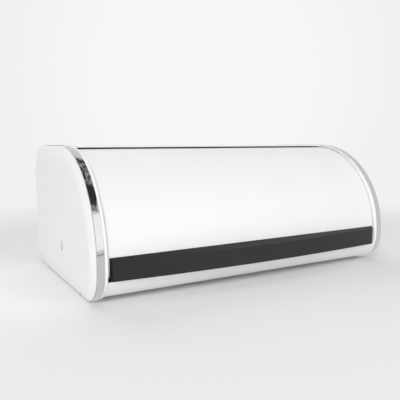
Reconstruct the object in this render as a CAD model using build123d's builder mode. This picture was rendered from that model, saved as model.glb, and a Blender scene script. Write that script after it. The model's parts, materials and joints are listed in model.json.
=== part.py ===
"""Bread box with a roll top: a wrapped steel sheet between two plastic ends,
with a curved steel lid that turns on two pivots and rolls back under the top."""

import os
from math import asin, degrees, sqrt

from build123d import *

# Overall size
WIDTH = 445.0               # across both end caps
HEIGHT = 172.0              # worktop to the top of the end caps
PIVOT_HEIGHT = 47.0         # worktop to the lid pivot
REAR_REACH = 145.0          # lid pivot to the back of the ends
FRONT_STRAIGHT = 8.0        # upright run below the front curve
TOP_CORNER = 46.0           # radius of the rear top corner
FOOT_STAND = 1.0            # end caps above the worktop

# Ends, from the outside inwards
CAP_RIM = 3.8               # white edge outside the trim
CAP_ROUND = 3.6             # rounding of that edge
CAP_WALL = 2.5
CAP_SKIRT = 4.0
TRIM_WIDTH = 9.4
TRIM_THICK = 1.2
TRIM_PROUD = 0.6            # trim above the white edges
TRIM_SETBACK = 9.0          # rear end of the trim ahead of the rear top corner
PANEL_EDGE = 4.0            # white edge inside the trim
PANEL_ROUND = 1.5           # rounding of its inner corner
PANEL_WALL = 2.5
PANEL_RIM = 10.0

# Wrapped sheet
SHEET = 0.5
FOLD_ROUND = 0.4            # rounding of the folded edges
BODY_INSET = 0.9            # sheet below the edge of the ends
BASE_RISE = 6.0             # bottom of the sheet above the base of the ends
HEM = 8.0
GROOVE_DEPTH = 3.0
GROOVE_RUN = 52.0           # degrees of the top's groove that run on over the lid
TOP_EDGE = 7.0              # fixed top's front edge, ahead of the pivot

# Lid
LID_CLEARANCE = 2.0         # lid below the fixed top's hem
LID_END_GAP = 1.0           # lid to side panel, each end
LID_OVERLAP = 8.5           # degrees of lid under the fixed top
LID_OPENING = 82.0          # degrees of travel
ARM_THICK = 1.0
ARM_SETBACK = 0.3           # arm inside the end of the lid
ARM_TABS = 4
TAB_LENGTH = 8.0
TAB_SPREAD = 12.0           # degrees
HUB_RADIUS = 14.0

# Handle
HANDLE_HEIGHT = 25.6
HANDLE_DROP = 19.0          # underside below the lid pivot
HANDLE_DEPTH = 13.4         # front ahead of the lid, in the middle of the lower edge
HANDLE_END_GAP = 1.1        # inside the end of the lid
HANDLE_LIP_GAP = 1.0        # handle above the front lip
HANDLE_EDGE_RISE = 4.0      # lid's lower edge above the handle's underside
HANDLE_BOW = 8.9            # middle of the front ahead of its ends, at the bottom
HANDLE_LEAN = 5.0           # front set back from bottom to top, in the middle
HANDLE_END_LEAN = 0.4       # the same at the ends
HANDLE_SLOPE = 0.56         # fall of the top bevel
HANDLE_TAPER = 1.0          # underside shorter than the top, each end
HANDLE_SLANT = 0.5          # ends set in, for each unit ahead of the lid
HANDLE_ROUND = 0.6
GRIP_WALL = 4.0
GRIP_DEPTH = 8.0
GRIP_MARGIN = 52.0          # grip inside the handle's end
GRIP_BACK = 1.6             # wall between the grip and the lid's curve

# Pivots
PIN_DIAMETER = 8.0
PIN_HEAD = 13.0
PIN_HEAD_THICK = 2.4
PIN_TAIL = 0.8              # pin beyond the clip
BOSS_DIAMETER = 18.0
BOSS_LENGTH = 9.0
BUSH_BARREL = 12.0
BUSH_FLANGE = 16.0
BUSH_FLANGE_THICK = 0.6
BUSH_LIP = 13.4
BUSH_LIP_THICK = 1.1
CLIP_DIAMETER = 15.0
CLIP_THICK = 0.8
AXIAL_PLAY = 0.3
COVER_DIAMETER = 14.0
COVER_THICK = 1.0
COVER_SINK = 0.4
COVER_STEM = 6.0
COVER_STEM_LENGTH = 1.6

# Stops
STOP_RADIUS = 85.0          # from the pivot
STOP_DIAMETER = 8.0
STOP_LENGTH = 5.0
STOP_STEM = 5.0
STOP_GAP = 0.35             # arm to stop at either end of its travel

# Screws and feet
SCREW_DIAMETER = 3.2
SCREW_HEAD = 6.8
SCREW_HEAD_THICK = 1.7
SCREW_HOLE = 3.6
SCREW_LENGTH = 8.5
HANDLE_SCREW_LENGTH = 4.6
HANDLE_SCREW_COUNT = 4
HANDLE_SCREW_PITCH = 105.0
CAP_SCREW_INSET = 26.0      # from the edge of the ends
CAP_SCREW_ANGLE = 60.0      # of the one behind the front curve
BASE_SETBACK = 25.0         # feet and base screws inside the flat of the base
SCREW_POST = 9.0
SCREW_PAD = 12.0
BLOCK_WIDTH = 14.0
BLOCK_RISE = 10.0
FOOT_DIAMETER = 10.0
FOOT_STEM = 5.0
FOOT_STEM_LENGTH = 3.0

# Clearances
FIT = 0.05                  # radial, for plugged pieces
RUNNING = 0.06              # radial, bush on pin

# Heights and depths seen from the pivot
FRONT_RADIUS = HEIGHT - PIVOT_HEIGHT
CAP_BASE = FOOT_STAND - PIVOT_HEIGHT
BOTTOM_CORNER = -CAP_BASE - FRONT_STRAIGHT
BASE_FRONT = BOTTOM_CORNER - FRONT_RADIUS
BASE_REAR = REAR_REACH - BOTTOM_CORNER
TRIM_START = REAR_REACH - TOP_CORNER - TRIM_SETBACK
SHEET_INNER = BODY_INSET + SHEET
SHEET_BASE = CAP_BASE + BASE_RISE
SHEET_FLOOR = SHEET_BASE + SHEET
HANDLE_BOTTOM = -HANDLE_DROP
HANDLE_TOP = HANDLE_BOTTOM + HANDLE_HEIGHT
LIP_EDGE = HANDLE_BOTTOM - HANDLE_LIP_GAP
LID_EDGE = HANDLE_BOTTOM + HANDLE_EDGE_RISE

# Stations along the width, right of the middle
CAP_FACE = WIDTH / 2
TRIM_OUT = CAP_FACE - CAP_RIM
PANEL_OUT = TRIM_OUT - TRIM_WIDTH
PANEL_IN = PANEL_OUT - PANEL_EDGE
PANEL_BACK = PANEL_IN + PANEL_WALL
SHELL_END = PANEL_IN + GROOVE_DEPTH
LID_END = PANEL_IN - LID_END_GAP
ARM_OUT = LID_END - ARM_SETBACK
ARM_IN = ARM_OUT - ARM_THICK
CLIP_OUT = ARM_IN - BUSH_LIP_THICK - AXIAL_PLAY
PIN_SEAT = PANEL_BACK + BOSS_LENGTH
BLOCK_MIDDLE = PANEL_IN - BLOCK_WIDTH / 2
FOOT_MIDDLE = PANEL_OUT + TRIM_WIDTH / 2
SCREW_SEAT = PANEL_IN + SCREW_HEAD_THICK + AXIAL_PLAY
HANDLE_LENGTH = 2 * (LID_END - HANDLE_END_GAP)
GRIP_LENGTH = HANDLE_LENGTH - 2 * GRIP_MARGIN

# Lid radii and angles, upwards from straight ahead
LID_RADIUS = FRONT_RADIUS - BODY_INSET - 2 * SHEET - LID_CLEARANCE
LID_INNER = LID_RADIUS - SHEET
TAB_INNER = LID_INNER - ARM_THICK
HEM_ANGLE = degrees(HEM / LID_INNER)
LID_LOW = degrees(asin(LID_EDGE / LID_RADIUS))
LID_HIGH = 90 - degrees(asin(TOP_EDGE / LID_RADIUS)) + LID_OVERLAP
ARM_LOW = LID_LOW + HEM_ANGLE
ARM_HIGH = LID_HIGH - HEM_ANGLE
STOP_ANGLE = degrees(asin((STOP_DIAMETER / 2 + STOP_GAP) / STOP_RADIUS))

# Handle seat on the lid, and the middle of the whole box
HANDLE_REACH = LID_RADIUS + HANDLE_DEPTH
HEAD_SEAT = sqrt(LID_INNER**2 - (SCREW_HEAD / 2) ** 2)
PIVOT_Y = (HANDLE_REACH - REAR_REACH) / 2


def side_plane(x):
    """Plane across the box at x, pivot at its origin, back of the box to its right."""
    return Plane(origin=(x, PIVOT_Y, PIVOT_HEIGHT), x_dir=(0, 1, 0), z_dir=(1, 0, 0))


def front_plane(y):
    """Upright plane at y behind the pivot, facing the front."""
    return Plane(origin=(0, PIVOT_Y + y, PIVOT_HEIGHT), x_dir=(1, 0, 0), z_dir=(0, -1, 0))


def level_plane(z):
    """Level plane at z above the pivot."""
    return Plane(origin=(0, PIVOT_Y, PIVOT_HEIGHT + z), x_dir=(1, 0, 0), z_dir=(0, 0, 1))


def box_between(low, high, mode):
    """Rectangle from its low corner to its high corner."""
    with Locations(((low[0] + high[0]) / 2, (low[1] + high[1]) / 2)):
        Rectangle(high[0] - low[0], high[1] - low[1], mode=mode)


def end_outline(inset):
    """Side view of the box ends, moved inwards by inset."""
    top = FRONT_RADIUS - inset
    rear = REAR_REACH - inset
    base = CAP_BASE + inset
    low = BOTTOM_CORNER - inset
    high = TOP_CORNER - inset
    with BuildSketch() as outline:
        with BuildLine():
            CenterArc((0, 0), top, 90, 90)
            Line((-top, 0), (-top, base + low))
            CenterArc((low - top, base + low), low, 180, 90)
            Line((low - top, base), (rear - low, base))
            CenterArc((rear - low, base + low), low, 270, 90)
            Line((rear, base + low), (rear, top - high))
            CenterArc((rear - high, top - high), high, 0, 90)
            Line((rear - high, top), (0, top))
        make_face()
    return outline.sketch


def band(outer, inner):
    """Strip between two insets of the end outline."""
    with BuildSketch() as strip:
        add(end_outline(outer))
        add(end_outline(inner), mode=Mode.SUBTRACT)
    return strip.sketch


def band_part(outer, inner, low, high):
    """Stretch of such a strip that lies between two corner points."""
    with BuildSketch() as strip:
        add(band(outer, inner))
        box_between(low, high, Mode.INTERSECT)
    return strip.sketch


def sheet_outline(inset):
    """Side view of the wrapped sheet with its raised bottom, moved inwards by inset."""
    with BuildSketch() as outline:
        add(end_outline(BODY_INSET + inset))
        box_between((-FRONT_RADIUS, SHEET_BASE + inset), (REAR_REACH, FRONT_RADIUS), Mode.INTERSECT)
    return outline.sketch


def sheet_section(slack):
    """Section of the wrapped sheet with its two hems, grown by slack."""
    hemmed = SHEET_INNER + SHEET + slack
    lip = LIP_EDGE + slack
    edge = -TOP_EDGE - slack
    with BuildSketch() as section:
        add(sheet_outline(-slack))
        add(sheet_outline(SHEET + slack), mode=Mode.SUBTRACT)
        box_between((-FRONT_RADIUS, lip), (edge, FRONT_RADIUS), Mode.SUBTRACT)
        add(band_part(SHEET_INNER, hemmed, (-FRONT_RADIUS, LIP_EDGE - HEM - slack), (0, lip)))
        add(band_part(SHEET_INNER, hemmed, (edge, 0), (HEM - TOP_EDGE + slack, FRONT_RADIUS)))
    return section.sketch


def trim_section(outer, inner, end):
    """Section of the trim: over the top, down the front and round the bottom corner."""
    foot = BASE_FRONT - end
    reach = FRONT_RADIUS + TRIM_PROUD
    with BuildSketch() as section:
        add(band_part(outer, inner, (-reach, -reach), (foot, reach)))
        add(band_part(outer, inner, (foot, 0), (TRIM_START - end, reach)))
    return section.sketch


def curved_strip(outer, inner, low, high):
    """Section of a sheet that curves about the pivot between two angles."""
    with BuildSketch() as strip:
        with BuildLine():
            rim = CenterArc((0, 0), outer, 180 - high, high - low)
            bore = CenterArc((0, 0), inner, 180 - high, high - low)
            Line(rim @ 0, bore @ 0)
            Line(rim @ 1, bore @ 1)
        make_face()
    return strip.sketch


def groove_run():
    """Section of the top's groove past the fixed top, where it thins out along the lid."""
    outer = FRONT_RADIUS - BODY_INSET + FIT
    with BuildSketch() as section:
        with BuildLine():
            crest = CenterArc((0, 0), outer, 90, GROOVE_RUN)
            middle = around((LID_RADIUS + outer) / 2, 90 - GROOVE_RUN / 2)
            ThreePointArc((0, LID_RADIUS), middle, crest @ 1)
            Line((0, LID_RADIUS), crest @ 0)
        make_face()
    return section.sketch


def around(radius, angle):
    """Point about the pivot, the angle upwards from straight ahead."""
    point = Vector(-radius, 0).rotate(Axis.Z, -angle)
    return (point.X, point.Y)


def grip_outline(half, ends, middle):
    """Plan of the handle with a bowed front, measured ahead of the pivot."""
    with BuildSketch() as outline:
        with BuildLine():
            ThreePointArc((-half, -ends), (0, -middle), (half, -ends))
            Polyline((half, -ends), (half, 0), (-half, 0), (-half, -ends))
        make_face()
    return outline.sketch


def left_of(piece):
    """The left-hand twin of a right-hand piece."""
    with BuildPart() as twin:
        mirror(piece.part, about=Plane.YZ)
    return twin


# Places of stops, screws and feet
STOPS = (
    around(STOP_RADIUS, ARM_LOW - STOP_ANGLE),
    around(STOP_RADIUS, ARM_HIGH + LID_OPENING + STOP_ANGLE),
)
CAP_SCREWS = (
    (CAP_SCREW_INSET - FRONT_RADIUS, CAP_BASE + CAP_SCREW_INSET),
    (REAR_REACH - CAP_SCREW_INSET, CAP_BASE + CAP_SCREW_INSET),
    (REAR_REACH - CAP_SCREW_INSET, FRONT_RADIUS - CAP_SCREW_INSET),
    around(FRONT_RADIUS - CAP_SCREW_INSET, CAP_SCREW_ANGLE),
)
BASE_PLACES = (BASE_FRONT + BASE_SETBACK, BASE_REAR - BASE_SETBACK)
BACK_SCREW = (CAP_BASE + BOTTOM_CORNER + FRONT_RADIUS - TOP_CORNER) / 2
HANDLE_SCREWS = [
    ((number - (HANDLE_SCREW_COUNT - 1) / 2) * HANDLE_SCREW_PITCH, 0)
    for number in range(HANDLE_SCREW_COUNT)
]

# Body sheet
with BuildPart() as body_shell:
    with BuildSketch(side_plane(0)):
        add(sheet_section(0))
        lip = vertices().filter_by_position(Axis.Y, LIP_EDGE - FIT, LIP_EDGE + FIT)
        edge = vertices().filter_by_position(Axis.X, -TOP_EDGE - FIT, -TOP_EDGE + FIT)
        folds = vertices().filter_by_position(Axis.Y, SHEET_BASE - FIT, SHEET_FLOOR + FIT)
        fillet(lip + edge + folds, radius=FOLD_ROUND)
    extrude(amount=SHELL_END, both=True)
    with BuildSketch(level_plane(SHEET_BASE)):
        with Locations(*[(x, y) for x in (-BLOCK_MIDDLE, BLOCK_MIDDLE) for y in BASE_PLACES]):
            Circle(SCREW_HOLE / 2)
    extrude(amount=SHEET, mode=Mode.SUBTRACT)
    with BuildSketch(front_plane(REAR_REACH)):
        with Locations((-BLOCK_MIDDLE, BACK_SCREW), (BLOCK_MIDDLE, BACK_SCREW)):
            Circle(SCREW_HOLE / 2)
    extrude(amount=SHEET_INNER, mode=Mode.SUBTRACT)

# Side panel: edge, grooves for the body sheet, screw blocks and pivot boss
with BuildPart() as right_side_panel:
    with BuildSketch(side_plane(PANEL_IN)):
        add(end_outline(0))
    extrude(amount=PANEL_EDGE)
    fillet(faces().sort_by(Axis.X)[0].edges(), radius=PANEL_ROUND)
    with BuildSketch(side_plane(PANEL_BACK)):
        add(end_outline(PANEL_RIM))
        with Locations(*CAP_SCREWS, *STOPS):
            Circle(SCREW_PAD / 2, mode=Mode.SUBTRACT)
    extrude(amount=PANEL_EDGE, mode=Mode.SUBTRACT)
    with BuildSketch(side_plane(PANEL_BACK)):
        Circle(BOSS_DIAMETER / 2)
    extrude(amount=BOSS_LENGTH)
    with BuildSketch(side_plane(PANEL_IN)):
        add(sheet_section(FIT))
        add(groove_run())
    extrude(amount=GROOVE_DEPTH, mode=Mode.SUBTRACT)
    with BuildSketch(side_plane(PANEL_IN)):
        for y in BASE_PLACES:
            low = (y - BLOCK_WIDTH / 2, SHEET_FLOOR)
            box_between(low, (y + BLOCK_WIDTH / 2, SHEET_FLOOR + BLOCK_RISE), Mode.ADD)
        back = REAR_REACH - SHEET_INNER
        low = (back - BLOCK_RISE, BACK_SCREW - BLOCK_WIDTH / 2)
        box_between(low, (back, BACK_SCREW + BLOCK_WIDTH / 2), Mode.ADD)
    extrude(amount=-BLOCK_WIDTH)
    with BuildSketch(level_plane(SHEET_FLOOR)):
        with Locations(*[(BLOCK_MIDDLE, y) for y in BASE_PLACES]):
            Circle(SCREW_DIAMETER / 2 + FIT)
    extrude(amount=SCREW_LENGTH, mode=Mode.SUBTRACT)
    with BuildSketch(front_plane(back)):
        with Locations((BLOCK_MIDDLE, BACK_SCREW)):
            Circle(SCREW_DIAMETER / 2 + FIT)
    extrude(amount=SCREW_LENGTH, mode=Mode.SUBTRACT)
    with BuildSketch(side_plane(PANEL_IN)):
        with Locations(*CAP_SCREWS):
            Circle(SCREW_HOLE / 2)
        with Locations(*STOPS):
            Circle(STOP_STEM / 2 + FIT)
        Circle(PIN_DIAMETER / 2 + FIT)
    extrude(amount=PANEL_WALL + BOSS_LENGTH, mode=Mode.SUBTRACT)
    with BuildSketch(side_plane(PANEL_IN)):
        with Locations(*CAP_SCREWS):
            Circle(SCREW_HEAD / 2 + AXIAL_PLAY)
    extrude(amount=SCREW_SEAT - PANEL_IN, mode=Mode.SUBTRACT)

# End cap: a dish with a rounded edge, a seat for the trim, screw posts and a pivot cover seat
with BuildPart() as right_end_cap:
    with BuildSketch(side_plane(PANEL_OUT)):
        add(end_outline(0))
    extrude(amount=CAP_FACE - PANEL_OUT)
    fillet(faces().sort_by(Axis.X)[-1].edges(), radius=CAP_ROUND)
    with BuildSketch(side_plane(PANEL_OUT)):
        add(end_outline(CAP_SKIRT))
        with Locations(*CAP_SCREWS):
            Circle(SCREW_POST / 2, mode=Mode.SUBTRACT)
    extrude(amount=CAP_FACE - CAP_WALL - PANEL_OUT, mode=Mode.SUBTRACT)
    with BuildSketch(side_plane(PANEL_OUT)):
        add(trim_section(0, TRIM_THICK - TRIM_PROUD, 0))
    extrude(amount=TRIM_WIDTH, mode=Mode.SUBTRACT)
    with BuildSketch(side_plane(PANEL_OUT)):
        with Locations(*CAP_SCREWS):
            Circle(SCREW_DIAMETER / 2 + FIT)
    extrude(amount=SCREW_LENGTH, mode=Mode.SUBTRACT)
    with BuildSketch(side_plane(CAP_FACE)):
        Circle(COVER_DIAMETER / 2 + FIT)
    extrude(amount=-COVER_THICK - COVER_SINK, mode=Mode.SUBTRACT)
    with BuildSketch(side_plane(CAP_FACE)):
        Circle(COVER_STEM / 2 + FIT)
    extrude(amount=-CAP_WALL, mode=Mode.SUBTRACT)
    with BuildSketch(level_plane(CAP_BASE)):
        with Locations(*[(FOOT_MIDDLE, y) for y in BASE_PLACES]):
            Circle(FOOT_STEM / 2 + FIT)
    extrude(amount=FOOT_STEM_LENGTH, mode=Mode.SUBTRACT)

# Trim strip
with BuildPart() as right_trim_strip:
    with BuildSketch(side_plane(PANEL_OUT)):
        add(trim_section(-TRIM_PROUD, TRIM_THICK - TRIM_PROUD, FIT))
    extrude(amount=TRIM_WIDTH)

# Pivot pin
with BuildPart() as right_pivot_pin:
    with BuildSketch(side_plane(CLIP_OUT - CLIP_THICK - PIN_TAIL)):
        Circle(PIN_DIAMETER / 2)
    extrude(amount=PIN_SEAT - CLIP_OUT + CLIP_THICK + PIN_TAIL)
    with BuildSketch(side_plane(PIN_SEAT)):
        Circle(PIN_HEAD / 2)
    extrude(amount=PIN_HEAD_THICK)
    chamfer(faces().sort_by(Axis.X)[0].edges(), length=PIN_TAIL / 2)

# Pivot clip
with BuildPart() as right_pivot_clip:
    with BuildSketch(side_plane(CLIP_OUT)):
        Circle(CLIP_DIAMETER / 2)
        Circle(PIN_DIAMETER / 2, mode=Mode.SUBTRACT)
    extrude(amount=-CLIP_THICK)

# Pivot bush, snapped into the arm
with BuildPart() as right_pivot_bush:
    with BuildSketch(side_plane(ARM_OUT)):
        Circle(BUSH_FLANGE / 2)
    extrude(amount=BUSH_FLANGE_THICK)
    with BuildSketch(side_plane(ARM_OUT)):
        Circle(BUSH_BARREL / 2)
    extrude(amount=-ARM_THICK)
    with BuildSketch(side_plane(ARM_IN)):
        Circle(BUSH_LIP / 2)
    extrude(amount=-BUSH_LIP_THICK)
    with BuildSketch(side_plane(ARM_IN - BUSH_LIP_THICK)):
        Circle(PIN_DIAMETER / 2 + RUNNING)
    extrude(amount=BUSH_LIP_THICK + ARM_THICK + BUSH_FLANGE_THICK, mode=Mode.SUBTRACT)

# Pivot cover
with BuildPart() as right_pivot_cover:
    with BuildSketch(side_plane(CAP_FACE - COVER_SINK)):
        Circle(COVER_DIAMETER / 2)
    extrude(amount=-COVER_THICK)
    with BuildSketch(side_plane(CAP_FACE - COVER_SINK - COVER_THICK)):
        Circle(COVER_STEM / 2)
    extrude(amount=-COVER_STEM_LENGTH)

# Stops
stops = []
for place in STOPS:
    with BuildPart() as stop:
        with BuildSketch(side_plane(PANEL_IN)):
            with Locations(place):
                Circle(STOP_DIAMETER / 2)
        extrude(amount=-STOP_LENGTH)
        with BuildSketch(side_plane(PANEL_IN)):
            with Locations(place):
                Circle(STOP_STEM / 2)
        extrude(amount=PANEL_EDGE)
    stops.append(stop)

# Feet
feet = []
for y in BASE_PLACES:
    with BuildPart() as foot:
        with BuildSketch(level_plane(CAP_BASE)):
            with Locations((FOOT_MIDDLE, y)):
                Circle(FOOT_DIAMETER / 2)
        extrude(amount=-FOOT_STAND)
        with BuildSketch(level_plane(CAP_BASE)):
            with Locations((FOOT_MIDDLE, y)):
                Circle(FOOT_STEM / 2)
        extrude(amount=FOOT_STEM_LENGTH)
    feet.append(foot)

# Lid sheet with a hem along both edges
with BuildPart() as lid_sheet:
    with BuildSketch(side_plane(0)):
        add(curved_strip(LID_RADIUS, LID_INNER, LID_LOW, LID_HIGH))
        add(curved_strip(LID_INNER, LID_INNER - SHEET, LID_LOW, ARM_LOW))
        add(curved_strip(LID_INNER, LID_INNER - SHEET, ARM_HIGH, LID_HIGH))
        fillet(vertices().sort_by(Axis.Y)[:2] + vertices().sort_by(Axis.X)[-2:], radius=FOLD_ROUND)
    extrude(amount=LID_END, both=True)
    with BuildSketch(front_plane(0)):
        with Locations(*HANDLE_SCREWS):
            Circle(SCREW_HOLE / 2)
    extrude(amount=FRONT_RADIUS, mode=Mode.SUBTRACT)

# Lid arm: a fan from the pivot to the lid, with tabs welded under the lid sheet
with BuildPart() as right_lid_arm:
    with BuildSketch(side_plane(ARM_IN)):
        with BuildLine():
            rim = CenterArc((0, 0), LID_INNER, 180 - ARM_HIGH, ARM_HIGH - ARM_LOW)
            Line((0, 0), rim @ 0)
            Line((0, 0), rim @ 1)
        make_face()
        Circle(HUB_RADIUS)
        Circle(BUSH_BARREL / 2, mode=Mode.SUBTRACT)
    extrude(amount=ARM_THICK)
    with BuildSketch(side_plane(ARM_IN)):
        for tab in range(ARM_TABS):
            middle = ARM_LOW + (ARM_HIGH - ARM_LOW) * (tab + 0.5) / ARM_TABS
            add(curved_strip(LID_INNER, TAB_INNER, middle - TAB_SPREAD / 2, middle + TAB_SPREAD / 2))
    extrude(amount=-TAB_LENGTH)

# Handle: a bowed bar with a sloping top, slanted ends and a finger grip below
with BuildPart() as handle:
    half = HANDLE_LENGTH / 2
    ends = HANDLE_REACH - HANDLE_BOW
    with BuildSketch(level_plane(HANDLE_BOTTOM)):
        add(grip_outline(half - HANDLE_TAPER, ends, HANDLE_REACH))
    with BuildSketch(level_plane(HANDLE_TOP)):
        add(grip_outline(half, ends - HANDLE_END_LEAN, HANDLE_REACH - HANDLE_LEAN))
    loft(ruled=True)
    with BuildSketch(side_plane(0)):
        Circle(LID_RADIUS)
    extrude(amount=HANDLE_LENGTH, both=True, mode=Mode.SUBTRACT)
    top_start = -sqrt(LID_RADIUS**2 - HANDLE_TOP**2)
    with BuildSketch(side_plane(0)):
        with BuildLine():
            Polyline(
                (top_start, HANDLE_TOP),
                (top_start - HANDLE_HEIGHT, HANDLE_TOP),
                (top_start - HANDLE_HEIGHT, HANDLE_TOP - HANDLE_SLOPE * HANDLE_HEIGHT),
                close=True,
            )
        make_face()
    extrude(amount=HANDLE_LENGTH, both=True, mode=Mode.SUBTRACT)
    with BuildSketch(level_plane(HANDLE_BOTTOM)):
        for side in (-1, 1):
            with BuildLine():
                Polyline(
                    (side * half, -LID_RADIUS),
                    (side * half, -HANDLE_REACH),
                    (side * (half - HANDLE_SLANT * HANDLE_DEPTH), -HANDLE_REACH),
                    close=True,
                )
            make_face()
    extrude(amount=HANDLE_HEIGHT, mode=Mode.SUBTRACT)
    fillet(faces().sort_by(Axis.Y)[0].edges(), radius=HANDLE_ROUND)
    with BuildSketch(level_plane(HANDLE_BOTTOM)):
        with BuildLine():
            grip = ThreePointArc(
                (-GRIP_LENGTH / 2, -LID_RADIUS - GRIP_BACK),
                (0, GRIP_WALL - HANDLE_REACH),
                (GRIP_LENGTH / 2, -LID_RADIUS - GRIP_BACK),
            )
            Line(grip @ 0, grip @ 1)
        make_face()
    extrude(amount=GRIP_DEPTH, mode=Mode.SUBTRACT)
    with BuildSketch(front_plane(0)):
        with Locations(*HANDLE_SCREWS):
            Circle(SCREW_DIAMETER / 2 + FIT)
    extrude(amount=HEAD_SEAT + HANDLE_SCREW_LENGTH, mode=Mode.SUBTRACT)

# Screws: side panels to end caps
with BuildPart() as end_cap_screws:
    with BuildSketch(side_plane(SCREW_SEAT)):
        with Locations(*CAP_SCREWS):
            Circle(SCREW_HEAD / 2)
    extrude(amount=-SCREW_HEAD_THICK)
    with BuildSketch(side_plane(SCREW_SEAT)):
        with Locations(*CAP_SCREWS):
            Circle(SCREW_DIAMETER / 2)
    extrude(amount=SCREW_LENGTH)
    mirror(about=Plane.YZ)

# Screws: body sheet to side panels
with BuildPart() as shell_screws:
    with BuildSketch(level_plane(SHEET_BASE)):
        with Locations(*[(BLOCK_MIDDLE, y) for y in BASE_PLACES]):
            Circle(SCREW_HEAD / 2)
    extrude(amount=-SCREW_HEAD_THICK)
    with BuildSketch(level_plane(SHEET_BASE)):
        with Locations(*[(BLOCK_MIDDLE, y) for y in BASE_PLACES]):
            Circle(SCREW_DIAMETER / 2)
    extrude(amount=SCREW_LENGTH)
    with BuildSketch(front_plane(REAR_REACH - BODY_INSET)):
        with Locations((BLOCK_MIDDLE, BACK_SCREW)):
            Circle(SCREW_HEAD / 2)
    extrude(amount=-SCREW_HEAD_THICK)
    with BuildSketch(front_plane(REAR_REACH - BODY_INSET)):
        with Locations((BLOCK_MIDDLE, BACK_SCREW)):
            Circle(SCREW_DIAMETER / 2)
    extrude(amount=SCREW_LENGTH)
    mirror(about=Plane.YZ)

# Screws: lid to handle
with BuildPart() as handle_screws:
    with BuildSketch(front_plane(-HEAD_SEAT)):
        with Locations(*HANDLE_SCREWS):
            Circle(SCREW_HEAD / 2)
    extrude(amount=-SCREW_HEAD_THICK)
    with BuildSketch(front_plane(-HEAD_SEAT)):
        with Locations(*HANDLE_SCREWS):
            Circle(SCREW_DIAMETER / 2)
    extrude(amount=HANDLE_SCREW_LENGTH)

pieces = {
    "body_shell": body_shell,
    "lid_sheet": lid_sheet,
    "handle": handle,
    "end_cap_screws": end_cap_screws,
    "shell_screws": shell_screws,
    "handle_screws": handle_screws,
}
handed = {
    "side_panel": right_side_panel,
    "end_cap": right_end_cap,
    "trim_strip": right_trim_strip,
    "pivot_pin": right_pivot_pin,
    "pivot_clip": right_pivot_clip,
    "pivot_bush": right_pivot_bush,
    "pivot_cover": right_pivot_cover,
    "lid_arm": right_lid_arm,
    "closed_stop": stops[0],
    "open_stop": stops[1],
    "front_foot": feet[0],
    "rear_foot": feet[1],
}
for name, piece in handed.items():
    pieces[f"right_{name}"] = piece
    pieces[f"left_{name}"] = left_of(piece)

os.makedirs("parts", exist_ok=True)
for name, piece in pieces.items():
    piece.part.label = name
    export_step(piece.part, f"parts/{name}.step")
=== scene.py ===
"""A bread box with a roll top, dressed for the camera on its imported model: powder-coated sheet steel
between moulded white ends, chrome trim over their edges and a bowed black handle on the lid."""

import json
from math import asin, ceil, cos, degrees, pi, radians, sin, sqrt

import bmesh
import bpy
from mathutils import Matrix, Vector

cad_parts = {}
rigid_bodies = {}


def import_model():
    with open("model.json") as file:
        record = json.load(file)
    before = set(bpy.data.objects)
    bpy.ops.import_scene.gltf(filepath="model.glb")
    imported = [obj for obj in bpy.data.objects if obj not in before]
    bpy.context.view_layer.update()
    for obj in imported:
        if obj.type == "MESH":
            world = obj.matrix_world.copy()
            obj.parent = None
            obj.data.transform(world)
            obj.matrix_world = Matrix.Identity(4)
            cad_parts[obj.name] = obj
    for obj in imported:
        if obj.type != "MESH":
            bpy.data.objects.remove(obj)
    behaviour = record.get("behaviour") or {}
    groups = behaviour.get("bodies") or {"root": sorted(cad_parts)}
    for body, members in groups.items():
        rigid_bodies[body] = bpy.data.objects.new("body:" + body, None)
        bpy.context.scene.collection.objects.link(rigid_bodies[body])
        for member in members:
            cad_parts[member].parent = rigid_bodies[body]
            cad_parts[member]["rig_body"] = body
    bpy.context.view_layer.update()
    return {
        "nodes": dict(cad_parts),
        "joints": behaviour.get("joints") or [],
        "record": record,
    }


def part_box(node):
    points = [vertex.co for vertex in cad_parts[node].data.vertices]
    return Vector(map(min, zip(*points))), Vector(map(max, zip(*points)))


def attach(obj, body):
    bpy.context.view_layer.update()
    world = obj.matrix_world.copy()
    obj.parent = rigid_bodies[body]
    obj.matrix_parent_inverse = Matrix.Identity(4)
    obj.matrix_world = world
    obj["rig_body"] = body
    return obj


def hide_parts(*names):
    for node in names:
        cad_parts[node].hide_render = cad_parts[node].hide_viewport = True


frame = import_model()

MM = 0.001

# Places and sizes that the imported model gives, in metres
PIVOT = Vector(frame["joints"][0]["pos_m"])
CAP_LOW, CAP_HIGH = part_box("right_end_cap")
TRIM_LOW, TRIM_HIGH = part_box("right_trim_strip")
SHELL_LOW, SHELL_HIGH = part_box("body_shell")
LID_LOW, LID_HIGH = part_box("lid_sheet")
HANDLE_LOW, HANDLE_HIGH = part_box("handle")
COVER_LOW, COVER_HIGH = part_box("right_pivot_cover")

# Side view of the ends, seen from the pivot
FRONT_RADIUS = PIVOT.y - CAP_LOW.y
REAR_REACH = CAP_HIGH.y - PIVOT.y
CAP_BASE = CAP_LOW.z - PIVOT.z
TOP_CORNER = 46 * MM
FRONT_STRAIGHT = 8 * MM
LOW_CORNER = -CAP_BASE - FRONT_STRAIGHT

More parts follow.
